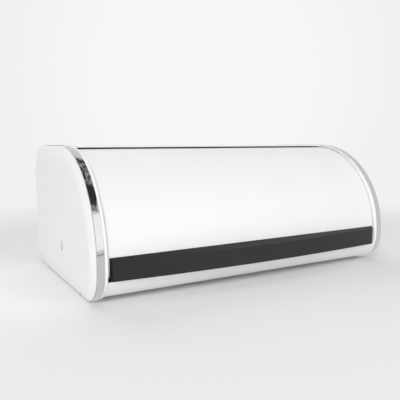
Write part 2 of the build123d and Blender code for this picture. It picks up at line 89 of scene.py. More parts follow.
# Ends
CAP_SKIRT = 4 * MM
CAP_BEVEL = 13 * MM         # width of the sloping edge, seen from the side
CAP_BEND = 1.3              # 1 is a straight slope, more eases it into the flat face
CAP_FLAT = 3 * MM           # first part of the flat face inside the sloping edge
SEAT_BEVEL = 0.5 * MM       # around the recess of the pivot cover
COVER_THICK = 1 * MM
COVER_SINK = 0.4 * MM
COVER_ROUND = 0.7 * MM
COVER_DISH = 0.6 * MM       # middle of the cover below its edge
STEM_RADIUS = 3 * MM
FIT = 0.05 * MM
TRIM_THICK = 1.2 * MM
TRIM_CROWN = 0.25 * MM      # middle of the strip above its edges
TRIM_EDGE = 0.4 * MM        # rounding of the strip's edges
TRIM_GAP = 0.65 * MM        # open joint between the strip and the end cap

# Sheet steel
SHEET = 0.5 * MM
HEM = 8 * MM
BODY_INSET = CAP_HIGH.z - SHELL_HIGH.z
BASE_FOLD = 0.9 * MM        # rounding of the two folds along the bottom
LIP_GAP = 1 * MM            # front lip below the handle
TOP_EDGE = 7 * MM           # front edge of the fixed top, ahead of the pivot
LID_RADIUS = PIVOT.y - LID_LOW.y

# Handle
HANDLE_REACH = PIVOT.y - HANDLE_LOW.y
HANDLE_BOW = 8.9 * MM
HANDLE_LEAN = 5 * MM
HANDLE_END_LEAN = 0.4 * MM
HANDLE_SLOPE = 0.56
HANDLE_TAPER = 1 * MM
HANDLE_SLANT = 0.5
HANDLE_ROUND = 0.6 * MM
GRIP_WALL = 4 * MM
GRIP_DEPTH = 8 * MM
GRIP_MARGIN = 52 * MM
GRIP_BACK = 1.6 * MM

# Fineness of the meshes
ARC_STEP = 2.0              # degrees
FOLD_STEPS = 8
EDGE_STEPS = 10
ROUND_STEPS = 48
HANDLE_STEPS = 72
BEVEL_STEPS = 3
QUARTER_TURNS = [pi / 2 * step / FOLD_STEPS for step in range(FOLD_STEPS + 1)]
WELD = 0.005 * MM           # points nearer than this are one
SHARP_ANGLE = radians(32)

# Node sockets of a colour mix
MIX_A, MIX_B, MIX_OUT = 6, 7, 2


def colour(code):
    """Linear colour from an sRGB hex value."""
    shares = [int(code[start:start + 2], 16) / 255 for start in (0, 2, 4)]
    return *(s / 12.92 if s <= 0.04045 else ((s + 0.055) / 1.055) ** 2.4 for s in shares), 1.0


def put(tree, kind, sockets, **settings):
    """Adds a node, or takes one that is there, with its settings, values and links."""
    made = kind if isinstance(kind, bpy.types.Node) else tree.nodes.new(kind)
    for name, value in settings.items():
        setattr(made, name, value)
    for name, value in sockets.items():
        if isinstance(value, bpy.types.NodeSocket):
            tree.links.new(value, made.inputs[name])
        else:
            made.inputs[name].default_value = value
    return made


def new_finish(name):
    """An empty finish: its material, its node tree, its shader and the place on the piece."""
    material = bpy.data.materials.new(name)
    material.use_nodes = True
    tree = material.node_tree
    place = put(tree, "ShaderNodeTexCoord", {}).outputs["Object"]
    return material, tree, tree.nodes["Principled BSDF"], place


# Sheet steel with polyester powder sprayed on and baked: an even white with a satin sheen,
# softened by a faint orange peel, and a gloss that differs a little from place to place
PEEL_WIDTH = 1.6 * MM       # real peel is about 0.8, drawn coarser to show
PEEL_HEIGHT = 0.006 * MM
FILM_WIDTH = 60 * MM


def powder_coated_steel():
    material, tree, shader, place = new_finish("powder_coated_sheet_steel")
    peel = put(tree, "ShaderNodeTexNoise", {"Vector": place, "Scale": 1 / PEEL_WIDTH, "Detail": 1.0})
    film = put(tree, "ShaderNodeTexNoise", {"Vector": place, "Scale": 1 / FILM_WIDTH, "Detail": 3.0})
    white = put(tree, "ShaderNodeMix", {
        "Factor": film.outputs["Fac"], MIX_A: colour("E9E9EA"), MIX_B: colour("ECECED"),
    }, data_type="RGBA")
    gloss = put(tree, "ShaderNodeMapRange", {
        "Value": film.outputs["Fac"], "To Min": 0.36, "To Max": 0.46,
    })
    relief = put(tree, "ShaderNodeBump", {
        "Height": peel.outputs["Fac"], "Strength": 0.5, "Distance": PEEL_HEIGHT,
    })
    put(tree, shader, {
        "Base Color": white.outputs[MIX_OUT], "Roughness": gloss.outputs["Result"],
        "Normal": relief.outputs["Normal"], "IOR": 1.5,
    })
    return material


# ABS moulded in a finely sparked tool: a plain white, or for the pivot covers a greyer white that is
# painted shade, with a soft satin skin and fine flow marks
SPARK_WIDTH = 0.9 * MM      # real grain is about 0.1, drawn coarser to show
SPARK_HEIGHT = 0.008 * MM
FLOW_WIDTH = 45 * MM


def moulded_abs(name, dull, clear):
    material, tree, shader, place = new_finish(name)
    spark = put(tree, "ShaderNodeTexNoise", {"Vector": place, "Scale": 1 / SPARK_WIDTH, "Detail": 2.0})
    flow = put(tree, "ShaderNodeTexNoise", {
        "Vector": place, "Scale": 1 / FLOW_WIDTH, "Detail": 2.0, "Distortion": 0.8,
    })
    white = put(tree, "ShaderNodeMix", {
        "Factor": flow.outputs["Fac"], MIX_A: colour(dull), MIX_B: colour(clear),
    }, data_type="RGBA")
    gloss = put(tree, "ShaderNodeMapRange", {
        "Value": flow.outputs["Fac"], "To Min": 0.36, "To Max": 0.44,
    })
    relief = put(tree, "ShaderNodeBump", {
        "Height": spark.outputs["Fac"], "Strength": 0.4, "Distance": SPARK_HEIGHT,
    })
    put(tree, shader, {
        "Base Color": white.outputs[MIX_OUT], "Roughness": gloss.outputs["Result"],
        "Normal": relief.outputs["Normal"], "IOR": 1.54,
    })
    return material


# Bright chrome plated on a rolled strip: a mirror that the rolled metal below makes a little wavy
ROLL_WIDTH = 11 * MM
ROLL_HEIGHT = 0.06 * MM
HAZE_WIDTH = 20 * MM


def polished_chrome():
    material, tree, shader, place = new_finish("polished_chrome_plate")
    roll = put(tree, "ShaderNodeTexNoise", {"Vector": place, "Scale": 1 / ROLL_WIDTH, "Detail": 1.0})
    haze = put(tree, "ShaderNodeTexNoise", {"Vector": place, "Scale": 1 / HAZE_WIDTH, "Detail": 3.0})
    gloss = put(tree, "ShaderNodeMapRange", {
        "Value": haze.outputs["Fac"], "To Min": 0.05, "To Max": 0.12,
    })
    relief = put(tree, "ShaderNodeBump", {
        "Height": roll.outputs["Fac"], "Strength": 0.5, "Distance": ROLL_HEIGHT,
    })
    put(tree, shader, {
        "Base Color": colour("CFCDCA"), "Metallic": 1.0,
        "Roughness": gloss.outputs["Result"], "Normal": relief.outputs["Normal"],
    })
    return material


# Black ABS from a sparked tool: a matt skin whose fine grain scatters light into a dark grey
GRAIN_WIDTH = 0.8 * MM      # real grain is about 0.2, drawn coarser to show
GRAIN_HEIGHT = 0.05 * MM


def grained_black_abs():
    material, tree, shader, place = new_finish("grained_black_abs")
    grain = put(tree, "ShaderNodeTexNoise", {"Vector": place, "Scale": 1 / GRAIN_WIDTH, "Detail": 3.0})
    black = put(tree, "ShaderNodeMix", {
        "Factor": grain.outputs["Fac"], MIX_A: colour("080808"), MIX_B: colour("0C0C0C"),
    }, data_type="RGBA")
    gloss = put(tree, "ShaderNodeMapRange", {
        "Value": grain.outputs["Fac"], "To Min": 0.34, "To Max": 0.44,
    })
    relief = put(tree, "ShaderNodeBump", {
        "Height": grain.outputs["Fac"], "Strength": 0.35, "Distance": GRAIN_HEIGHT,
    })
    put(tree, shader, {
        "Base Color": black.outputs[MIX_OUT], "Roughness": gloss.outputs["Result"],
        "Normal": relief.outputs["Normal"], "IOR": 1.5,
    })
    return material


# Bright zinc plated on cold-headed steel: silvery, with a faint blue and straw cast
# and fine drawing lines
LINE_WIDTH = 0.25 * MM
CAST_WIDTH = 3 * MM


def bright_zinc_plate():
    material, tree, shader, place = new_finish("bright_zinc_plated_steel")
    cast = put(tree, "ShaderNodeTexNoise", {"Vector": place, "Scale": 1 / CAST_WIDTH, "Detail": 2.0})
    line = put(tree, "ShaderNodeTexNoise", {"Vector": place, "Scale": 1 / LINE_WIDTH, "Detail": 1.0})
    silver = put(tree, "ShaderNodeMix", {
        "Factor": cast.outputs["Fac"], MIX_A: colour("BFC6CE"), MIX_B: colour("D2CFC4"),
    }, data_type="RGBA")
    gloss = put(tree, "ShaderNodeMapRange", {
        "Value": line.outputs["Fac"], "To Min": 0.24, "To Max": 0.42,
    })
    put(tree, shader, {
        "Base Color": silver.outputs[MIX_OUT], "Metallic": 1.0, "Roughness": gloss.outputs["Result"],
    })
    return material


# Natural acetal, turned or moulded: milky white, slippery, with light that sinks in a little
CLOUD_WIDTH = 6 * MM


def natural_acetal():
    material, tree, shader, place = new_finish("moulded_natural_acetal")
    cloud = put(tree, "ShaderNodeTexNoise", {"Vector": place, "Scale": 1 / CLOUD_WIDTH, "Detail": 2.0})
    milk = put(tree, "ShaderNodeMix", {
        "Factor": cloud.outputs["Fac"], MIX_A: colour("E9E8E1"), MIX_B: colour("F0EFEA"),
    }, data_type="RGBA")
    put(tree, shader, {"Base Color": milk.outputs[MIX_OUT], "Roughness": 0.3, "IOR": 1.48})
    return material


# Moulded rubber: soft matt charcoal with a dusty bloom
BLOOM_WIDTH = 2.5 * MM
RUBBER_WIDTH = 0.5 * MM
RUBBER_HEIGHT = 0.03 * MM


def moulded_rubber():
    material, tree, shader, place = new_finish("moulded_black_rubber")
    bloom = put(tree, "ShaderNodeTexNoise", {"Vector": place, "Scale": 1 / BLOOM_WIDTH, "Detail": 3.0})
    skin = put(tree, "ShaderNodeTexNoise", {"Vector": place, "Scale": 1 / RUBBER_WIDTH, "Detail": 1.0})
    charcoal = put(tree, "ShaderNodeMix", {
        "Factor": bloom.outputs["Fac"], MIX_A: colour("242424"), MIX_B: colour("353534"),
    }, data_type="RGBA")
    relief = put(tree, "ShaderNodeBump", {
        "Height": skin.outputs["Fac"], "Strength": 0.4, "Distance": RUBBER_HEIGHT,
    })
    put(tree, shader, {
        "Base Color": charcoal.outputs[MIX_OUT], "Roughness": 0.8,
        "Normal": relief.outputs["Normal"], "IOR": 1.52,
    })
    return material


FINISHES = {
    "powder_coat": powder_coated_steel(),
    "white_plastic": moulded_abs("moulded_white_abs", "EDEDED", "F0F0F1"),
    "chrome": polished_chrome(),
    "black_plastic": grained_black_abs(),
    "zinc_steel": bright_zinc_plate(),
    "bush_plastic": natural_acetal(),
    "rubber": moulded_rubber(),
}
# Pivot covers in a greyer white: painted shade standing in for the dark mark at the pivot
COVER_PAINTED_SHADE_FINISH = moulded_abs("moulded_abs_grey_painted_shade", "C9C9C9", "CFCFCF")
SLOTS = {row["node"]: row["material_slot"] for row in frame["record"]["subparts"]}


def dress(obj, node):
    """Gives a piece the finish of a CAD node's slot."""
    obj.data.materials.clear()
    obj.data.materials.append(FINISHES[SLOTS[node]])


def show(name, mesh, *nodes):
    """Makes a piece of a mesh, in the finish and on the body of the CAD nodes that it stands for."""
    bmesh.ops.recalc_face_normals(mesh, faces=mesh.faces)
    data = bpy.data.meshes.new(name)
    mesh.to_mesh(data)
    mesh.free()
    data.shade_smooth()
    data.set_sharp_from_angle(angle=SHARP_ANGLE)
    piece = bpy.data.objects.new(name, data)
    bpy.context.collection.objects.link(piece)
    dress(piece, nodes[0])
    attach(piece, frame["nodes"][nodes[0]]["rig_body"])
    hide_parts(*nodes)
    return piece


def skin(mesh, rings, joined=False):
    """Adds faces between rings of points, and from the last ring to the first if they are joined."""
    rows = [[mesh.verts.new(point) for point in ring] for ring in rings]
    for row, after in zip(rows, rows[1:] + rows[:1] if joined else rows[1:]):
        for index in range(len(row)):
            mesh.faces.new((row[index - 1], row[index], after[index], after[index - 1]))
    return rows


def solid(mesh, rings):
    """Adds a closed solid: a skin between rings, with a face at both ends."""
    rows = skin(mesh, rings)
    mesh.faces.new(rows[0])
    mesh.faces.new(rows[-1])


def turned(profile, foot, axis):
    """Rings of a round piece, from distances along its axis and radii."""
    across = axis.orthogonal().normalized()
    beside = axis.cross(across)
    turns = [2 * pi * step / ROUND_STEPS for step in range(ROUND_STEPS)]
    spokes = [cos(turn) * across + sin(turn) * beside for turn in turns]
    return [[foot + along * axis + radius * spoke for spoke in spokes] for along, radius in profile]


def arc(middle, radius, start, end):
    """Stations of an arc, each a point and its outward normal, in degrees from the back over the top."""
    count = ceil(abs(end - start) / ARC_STEP)
    angles = [radians(start + (end - start) * step / count) for step in range(count + 1)]
    normals = [Vector((cos(angle), sin(angle))) for angle in angles]
    return [(middle + radius * normal, normal) for normal in normals]


def inside(station, inset):
    """Point at an inset from a station."""
    point, normal = station
    return point - inset * normal


def at(x, point):
    """Place in the box: a distance to the right, and a point about the pivot."""
    return Vector((x, PIVOT.y + point.x, PIVOT.z + point.y))


# Arcs of the ends' outline, straight runs lie between them
CENTRE = Vector((0, 0))
LOW_MIDDLE = Vector((LOW_CORNER - FRONT_RADIUS, CAP_BASE + LOW_CORNER))
FRONT_ARC = arc(CENTRE, FRONT_RADIUS, 90, 180)
LOW_FRONT_ARC = arc(LOW_MIDDLE, LOW_CORNER, 180, 270)
LOW_REAR = Vector((REAR_REACH - LOW_CORNER, LOW_MIDDLE.y))
LOW_REAR_ARC = arc(LOW_REAR, LOW_CORNER, 270, 360)
TOP_REAR = Vector((REAR_REACH, FRONT_RADIUS)) - Vector((TOP_CORNER, TOP_CORNER))
TOP_REAR_ARC = arc(TOP_REAR, TOP_CORNER, 0, 90)
UP, DOWN = Vector((0, 1)), Vector((0, -1))


def fold(before, last, inset):
    """Points round the edge where a sheet is folded back on itself, past the last station of its path."""
    point, normal = last
    ahead = Vector((normal.y, -normal.x))
    if ahead.dot(point - before[0]) < 0:
        ahead.negate()
    middle = inside(last, inset + SHEET)
    turns = [pi * step / FOLD_STEPS for step in range(1, FOLD_STEPS)]
    return [middle + SHEET * (cos(turn) * normal + sin(turn) * ahead) for turn in turns]


def hemmed_section(path, inset):
    """Section of a sheet along a path, hemmed inwards at both ends."""
    lengths = [0.0]
    for (before, _), (after, _) in zip(path, path[1:]):
        lengths.append(lengths[-1] + (after - before).length)
    whole = lengths[-1]

    def station_at(length):
        index = max(i for i, value in enumerate(lengths[:-1]) if value <= length)
        share = (length - lengths[index]) / (lengths[index + 1] - lengths[index])
        (point, normal), (after, turned_normal) = path[index:index + 2]
        return point.lerp(after, share), normal.lerp(turned_normal, share).normalized()

    first, last = station_at(HEM), station_at(whole - HEM)
    hemmed, plain = inset + 2 * SHEET, inset + SHEET
    start_hem = [inside(s, hemmed) for s, value in zip(path, lengths) if value < HEM]
    between = [inside(s, plain) for s, value in zip(path, lengths) if HEM < value < whole - HEM]
    end_hem = [inside(s, hemmed) for s, value in zip(path, lengths) if value > whole - HEM]
    return [
        *[inside(station, inset) for station in path],
        *fold(path[-2], path[-1], inset),
        *reversed(end_hem), inside(last, hemmed), inside(last, plain),
        *reversed(between), inside(first, plain), inside(first, hemmed),
        *reversed(start_hem),
        *reversed(fold(path[1], path[0], inset)),
    ]


def rolled_sheet(name, node, path, inset, end):
    """A hemmed sheet that runs the whole width between two ends."""
    section = hemmed_section(path, inset)
    mesh = bmesh.new()
    solid(mesh, [[at(x, point) for point in section] for x in (-end, end)])
    show(name, mesh, node)


def body_sheet():
    """The wrapped sheet, from the front lip under the bread and up the back to the top's front edge."""
    corner = LOW_CORNER - BODY_INSET
    lip = HANDLE_LOW.z - PIVOT.z - LIP_GAP - SHEET
    lip_angle = 180 + degrees(asin((LOW_MIDDLE.y - lip) / corner))
    top_angle = 90 + degrees(asin((TOP_EDGE - SHEET) / (FRONT_RADIUS - BODY_INSET)))
    drop = LOW_MIDDLE.y - BASE_FOLD - (SHELL_LOW.z - PIVOT.z)
    turn = degrees(asin(drop / (corner - BASE_FOLD)))
    run = sqrt((corner - BASE_FOLD) ** 2 - drop**2)
    bend = BASE_FOLD + BODY_INSET
    path = arc(LOW_MIDDLE, LOW_CORNER, lip_angle, 180 + turn)
    path += arc(LOW_MIDDLE - Vector((run, drop)), bend, 180 + turn, 270)[1:]
    path += arc(LOW_REAR + Vector((run, -drop)), bend, 270, 360 - turn)
    path += arc(LOW_REAR, LOW_CORNER, 360 - turn, 360)[1:]
    path += TOP_REAR_ARC + arc(CENTRE, FRONT_RADIUS, 90, top_angle)[1:]
    rolled_sheet("wrapped_body_sheet", "body_shell", path, BODY_INSET, SHELL_HIGH.x)


def lid():
    """The rolled lid, from its rear edge under the fixed top to its lower edge behind the handle."""
    rear = 90 - degrees(asin((LID_HIGH.y - PIVOT.y - SHEET) / LID_RADIUS))
    front = 180 + degrees(asin((PIVOT.z - LID_LOW.z - SHEET) / LID_RADIUS))
    rolled_sheet("rolled_lid_sheet", "lid_sheet", arc(CENTRE, LID_RADIUS, rear, front), 0, LID_HIGH.x)


def end_cap(side, hand):
    """A moulded dish with a sloping edge, a seat for the trim strip and a recess for the pivot cover."""
    trim_end = TRIM_HIGH.y - PIVOT.y
    seat = TRIM_THICK - (TRIM_HIGH.z - CAP_HIGH.z)
    seated = [(Vector((trim_end, FRONT_RADIUS)), UP)] + FRONT_ARC + LOW_FRONT_ARC
    foot = LOW_FRONT_ARC[-1][0] + Vector((FIT, 0))
    bare = [(foot, DOWN)] + LOW_REAR_ARC + TOP_REAR_ARC + [(Vector((trim_end + FIT, FRONT_RADIUS)), UP)]
    trim_out = TRIM_HIGH.x
    face = CAP_HIGH.x

    def ring(x, inset, sunk=0.0):
        deep = [inside(station, max(inset, sunk)) for station in seated]
        return [at(side * x, point) for point in deep + [inside(station, inset) for station in bare]]

    shares = [step / EDGE_STEPS for step in range(1, EDGE_STEPS + 1)]
    rises = [(face - trim_out) * (1 - (1 - share) ** CAP_BEND) for share in shares]
    slope = [ring(trim_out + rise, CAP_BEVEL * share) for rise, share in zip(rises, shares)]
    rings = [
        ring(trim_out - FIT, CAP_SKIRT), ring(CAP_LOW.x, CAP_SKIRT),
        ring(CAP_LOW.x, 0, seat), ring(trim_out, 0, seat), ring(trim_out + FIT, 0),
        *slope, ring(face, CAP_BEVEL + CAP_FLAT),
    ]
    mesh = bmesh.new()
    rows = skin(mesh, rings)
    mesh.faces.new(rows[0])
    radius = (COVER_HIGH.z - COVER_LOW.z) / 2 + FIT
    recess = [(0, radius + SEAT_BEVEL), (SEAT_BEVEL, radius), (COVER_THICK + COVER_SINK, radius)]
    inwards = Vector((-side, 0, 0))
    wall = skin(mesh, turned(recess, at(side * face, CENTRE), inwards))
    mesh.faces.new(wall[-1])
    border = [mesh.edges.get((row[index - 1], row[index])) for row in (rows[-1], wall[0])
              for index in range(len(row))]
    bmesh.ops.triangle_fill(mesh, use_beauty=True, edges=border, normal=-inwards)
    show(f"{hand}_moulded_end_cap", mesh, f"{hand}_end_cap")


def trim_strip(side, hand):
    """A chrome strip with rounded edges and a slight crown, bent over the end from top to base."""
    proud = TRIM_HIGH.z - CAP_HIGH.z
    outside = TRIM_HIGH.x - TRIM_GAP
    middle = (TRIM_LOW.x + outside) / 2
    flat = outside - middle - TRIM_EDGE
    shoulder = TRIM_CROWN + TRIM_EDGE - proud
    left = middle - flat
    corner = [(left - TRIM_EDGE * cos(turn), shoulder - TRIM_EDGE * sin(turn)) for turn in QUARTER_TURNS]
    across = [2 * step / EDGE_STEPS - 1 for step in range(1, EDGE_STEPS)]
    crown = [(middle + flat * share, TRIM_CROWN * share**2 - proud) for share in across]
    other_corner = [(2 * middle - x, inset) for x, inset in reversed(corner)]
    base = TRIM_THICK - proud
    profile = [(TRIM_LOW.x, base), *corner, *crown, *other_corner, (outside, base)]
    path = [(Vector((TRIM_HIGH.y - PIVOT.y, FRONT_RADIUS)), UP)] + FRONT_ARC + LOW_FRONT_ARC
    mesh = bmesh.new()
    solid(mesh, [[at(side * x, inside(station, inset)) for x, inset in profile] for station in path])
    show(f"{hand}_chrome_trim", mesh, f"{hand}_trim_strip")


def bowed(x, half, middle, sag):
    """Reach of a bowed front at x, with its sag at both ends."""
    radius = (half**2 + sag**2) / (2 * sag)
    return middle - radius + sqrt(radius**2 - x**2)


def carved(mesh, cutter):
    """The mesh with a cutter's shape taken out of it."""
    pair = []
    for part in (mesh, cutter):
        bmesh.ops.recalc_face_normals(part, faces=part.faces)
        data = bpy.data.meshes.new("carving")
        part.to_mesh(data)
        part.free()
        pair.append(bpy.data.objects.new("carving", data))
        bpy.context.collection.objects.link(pair[-1])
    cut = pair[0].modifiers.new("cut", "BOOLEAN")
    cut.object = pair[1]
    cut.solver = "EXACT"
    result = bmesh.new()
    result.from_object(pair[0], bpy.context.evaluated_depsgraph_get())
    for obj in pair:
        bpy.data.meshes.remove(obj.data)
    return result


def handle():
    """A bar with a bowed, leaning front, a sloping top, slanted ends and a finger grip below."""
    bottom, top = HANDLE_LOW.z - PIVOT.z, HANDLE_HIGH.z - PIVOT.z
    half_top = HANDLE_HIGH.x
    half_low = half_top - HANDLE_TAPER
    set_in = HANDLE_SLANT * (HANDLE_REACH - HANDLE_BOW - LID_RADIUS)
    crest = sqrt(LID_RADIUS**2 - top**2)
    heights = [bottom + (top - bottom) * step / FOLD_STEPS for step in range(FOLD_STEPS + 1)]

    def half_at(z):
        return half_low + (half_top - half_low) * (z - bottom) / (top - bottom)

    def ring(share):
        low = bowed(share * half_low, half_low, HANDLE_REACH, HANDLE_BOW)
        sag = HANDLE_BOW + HANDLE_END_LEAN - HANDLE_LEAN
        high = bowed(share * half_top, half_top, HANDLE_REACH - HANDLE_LEAN, sag)
        lean = (high - low) / (top - bottom)
        edge = (top - HANDLE_SLOPE * (low - lean * bottom - crest)) / (1 + HANDLE_SLOPE * lean)
        front = low + lean * (edge - bottom)
        back = [(half_top, sqrt(LID_RADIUS**2 - z**2) + FIT, z) for z in heights]
        points = back + [(half_at(z) - set_in, reach, z) for reach, z in ((front, edge), (low, bottom))]
        return [at(share * half, Vector((-reach, z))) for half, reach, z in points]

    shares = [2 * step / HANDLE_STEPS - 1 for step in range(HANDLE_STEPS + 1)]
    bar = bmesh.new()
    solid(bar, [ring(share) for share in shares])
    grip = half_top - GRIP_MARGIN
    back = LID_RADIUS + GRIP_BACK
    depth = HANDLE_REACH - GRIP_WALL - back
    plan = [Vector((grip * share, -bowed(grip * share, grip, back + depth, depth))) for share in shares]
    cutter = bmesh.new()
    levels = (bottom - GRIP_DEPTH, bottom + GRIP_DEPTH)
    solid(cutter, [[at(point.x, Vector((point.y, z))) for point in plan] for z in levels])
    piece = show("bowed_handle", carved(bar, cutter), "handle")
    edges = piece.modifiers.new("rounded_edges", "BEVEL")
    edges.width = HANDLE_ROUND
    edges.segments = BEVEL_STEPS
    edges.limit_method = "ANGLE"
    edges.angle_limit = SHARP_ANGLE


# Screws: pan heads with a cross recess
RECESS_ARM = 1.7 * MM
RECESS_WIDTH = 0.8 * MM
RECESS_DEPTH = 1.1 * MM
RECESS_FLARE = 1.2          # growth of the cross, as far above the head as it goes down
RECESS_TAPER = 0.7          # what is left of its width at the bottom
HEAD_THICK = 1.7 * MM
HEAD_EDGE = 0.9 * MM        # upright part of the head, below its dome
HEAD_RADIUS = 3.4 * MM
HEAD_RIM = 0.9 * HEAD_RADIUS    # points farther out than this lie on the head
SCREW_RADIUS = 1.6 * MM
TIP = 1.2 * MM
TIP_RADIUS = SCREW_RADIUS / 3


def islands(node):
    """Corner points of each separate solid in a CAD node."""
    mesh = bmesh.new()
    mesh.from_mesh(frame["nodes"][node].data)
    bmesh.ops.remove_doubles(mesh, verts=mesh.verts, dist=WELD)
    left = set(mesh.verts)
    found = []
    while left:
        group, reached = [], [min(left, key=lambda vert: vert.index)]
        left.discard(reached[0])
        while reached:
            vert = reached.pop()
            group.append(vert.co.copy())
            near = [edge.other_vert(vert) for edge in vert.link_edges]
            reached += [other for other in near if other in left]
            left.difference_update(near)
        found.append(group)
    mesh.free()
    return found


def screw_mesh(length):
    """A screw from its head down along +Z."""
    crown = HEAD_THICK - HEAD_EDGE
    profile = [(crown * (1 - cos(turn)), HEAD_RADIUS * sin(turn)) for turn in QUARTER_TURNS[1:-1]]
    profile += [(crown, HEAD_RADIUS), (HEAD_THICK, HEAD_RADIUS), (HEAD_THICK, SCREW_RADIUS)]
    profile += [(length - TIP, SCREW_RADIUS), (length, TIP_RADIUS)]
    screw = bmesh.new()
    solid(screw, turned(profile, Vector(), Vector((0, 0, 1))))
    arm, half = RECESS_ARM, RECESS_WIDTH / 2
    cross = [(arm, half), (half, half), (half, arm), (-half, arm), (-half, half), (-arm, half),
             (-arm, -half), (-half, -half), (-half, -arm), (half, -arm), (half, -half), (arm, -half)]
    levels = ((-RECESS_DEPTH, RECESS_FLARE), (RECESS_DEPTH, RECESS_TAPER))
    cutter = bmesh.new()
    solid(cutter, [[Vector((x * share, y * share, z)) for x, y in cross] for z, share in levels])
    return carved(screw, cutter)


def screws(name, node):
    """A set of screws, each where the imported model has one."""
    mesh = bmesh.new()
    for group in islands(node):
        low = Vector(min(point[axis] for point in group) for axis in range(3))
        high = Vector(max(point[axis] for point in group) for axis in range(3))
        size = high - low
        along = max(range(3), key=lambda axis: size[axis])
        middle = (low + high) / 2
        beside = [axis for axis in range(3) if axis != along]
        rims = [point[along] for point in group
                if max(abs(point[axis] - middle[axis]) for axis in beside) > HEAD_RIM]
        head_first = abs(min(rims) - low[along]) < abs(max(rims) - high[along])
        axis = Vector([float(index == along) for index in range(3)]) * (1 if head_first else -1)
        start = middle.copy()
        start[along] = low[along] if head_first else high[along]
        one = screw_mesh(size[along])
        turn = Vector((0, 0, 1)).rotation_difference(axis).to_matrix().to_4x4()
        one.transform(Matrix.Translation(start) @ turn)
        data = bpy.data.meshes.new("screw")
        one.to_mesh(data)
        one.free()
        mesh.from_mesh(data)
        bpy.data.meshes.remove(data)
    show(name, mesh, node)


# Pivots, stops and feet
PIN_RADIUS = 4 * MM
PIN_HEAD = 2.4 * MM
PIN_CHAMFER = 0.4 * MM
BUSH_BORE = 4.06 * MM
BUSH_BARREL = 6 * MM
BUSH_LIP = 6.7 * MM
BUSH_LIP_THICK = 1.1 * MM
BUSH_FLANGE_THICK = 0.6 * MM
CLIP_TEETH = 6
CLIP_BITE = 1.4 * MM        # slots between the teeth, outside the bore
CLIP_SLOT = -0.5            # sine below which a slot lies between two teeth
CLIP_DISH = 0.25 * MM
STOP_STEM = 2.5 * MM
STOP_LENGTH = 5 * MM
FOOT_STEM = 2.5 * MM
FOOT_STAND = 1 * MM
SOFT_EDGE = 0.4 * MM        # rounding of small moulded pieces


def rounded(along, radius, inwards=1, edge=SOFT_EDGE):
    """Profile points round the edge of a disc, where it ends at a distance along its axis."""
    brim = radius - edge
    return [(along + inwards * edge * (1 - sin(turn)), brim + edge * cos(turn)) for turn in QUARTER_TURNS]


def end_of(node, axis):
    """Middle of the end of a node's box that an axis starts from."""
    low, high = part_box(node)
    middle = (low + high) / 2
    return middle - axis * abs((high - low).dot(axis)) / 2


def length_and_radius(node):
    """Size of a round node that lies across the box."""
    low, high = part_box(node)
    return high.x - low.x, (high.z - low.z) / 2


def round_piece(name, node, profile, axis):
    """A turned or moulded round piece, along an axis from the end of its node's box."""
    mesh = bmesh.new()
    solid(mesh, turned(profile, end_of(node, axis), axis))
    return show(name, mesh, node)


def pivot_pin(outwards, hand):
    """The headed pin that the lid turns on."""
    node = f"{hand}_pivot_pin"
    length, head = length_and_radius(node)
    neck = length - PIN_HEAD
    round_piece(f"{hand}_headed_pin", node, [
        (0, PIN_RADIUS - PIN_CHAMFER), (PIN_CHAMFER, PIN_RADIUS), (neck, PIN_RADIUS),
        *reversed(rounded(neck, head)), *rounded(length, head, -1),
    ], outwards)


def pivot_bush(outwards, hand):
    """The flanged bush, with a lip that snaps behind the arm."""
    node = f"{hand}_pivot_bush"
    length, flange = length_and_radius(node)
    face = length - BUSH_FLANGE_THICK
    profile = [
        (0, BUSH_BORE), (0, BUSH_LIP - SOFT_EDGE), (SOFT_EDGE, BUSH_LIP), (BUSH_LIP_THICK, BUSH_LIP),
        (BUSH_LIP_THICK, BUSH_BARREL), (face, BUSH_BARREL), (face, flange), (length, flange),
        (length, BUSH_BORE),
    ]
    mesh = bmesh.new()
    skin(mesh, turned(profile, end_of(node, outwards), outwards), joined=True)
    show(f"{hand}_snapped_bush", mesh, node)


def pivot_clip(outwards, hand):
    """The dished star clip, whose teeth grip the pin."""
    node = f"{hand}_pivot_clip"
    thick, radius = length_and_radius(node)
    step = CLIP_TEETH * 2 * pi / ROUND_STEPS
    bore = [PIN_RADIUS + CLIP_BITE * (sin(step * turn) < CLIP_SLOT) for turn in range(ROUND_STEPS)]
    rim = [radius] * ROUND_STEPS
    spokes = turned([(0, 1)], Vector(), outwards)[0]
    foot = end_of(node, outwards)
    sections = [(0, bore), (CLIP_DISH, rim), (thick, rim), (thick - CLIP_DISH, bore)]
    rings = [[foot + along * outwards + spoke * reach for spoke, reach in zip(spokes, reaches)]
             for along, reaches in sections]
    mesh = bmesh.new()
    skin(mesh, rings, joined=True)
    show(f"{hand}_star_clip", mesh, node)


def pivot_cover(outwards, hand):
    """The dished cover on its stem, in a greyer white than the end, which is painted shade for the dark
    mark at the pivot.
    """
    node = f"{hand}_pivot_cover"
    length, radius = length_and_radius(node)
    brim = radius - COVER_ROUND
    back = length - COVER_THICK
    shares = [1 - step / EDGE_STEPS for step in range(1, EDGE_STEPS)]
    cover = round_piece(f"{hand}_dished_cover", node, [
        (0, STEM_RADIUS - SOFT_EDGE), (SOFT_EDGE, STEM_RADIUS), (back, STEM_RADIUS), (back, radius),
        *rounded(length, radius, -1, COVER_ROUND),
        *[(length - COVER_DISH * (1 - share**2), brim * share) for share in shares],
    ], outwards)
    # the greyer white of the cover is painted shade
    cover.data.materials[0] = COVER_PAINTED_SHADE_FINISH


def stops(outwards, hand):
    """Rubber buffers at both ends of the lid's travel."""
    for place in ("closed", "open"):
        node = f"{hand}_{place}_stop"
        length, radius = length_and_radius(node)
        round_piece(f"{hand}_{place}_buffer", node, [
            *reversed(rounded(0, radius)), (STOP_LENGTH, radius), (STOP_LENGTH, STOP_STEM),
            (length - SOFT_EDGE, STOP_STEM), (length, STOP_STEM - SOFT_EDGE),
        ], outwards)


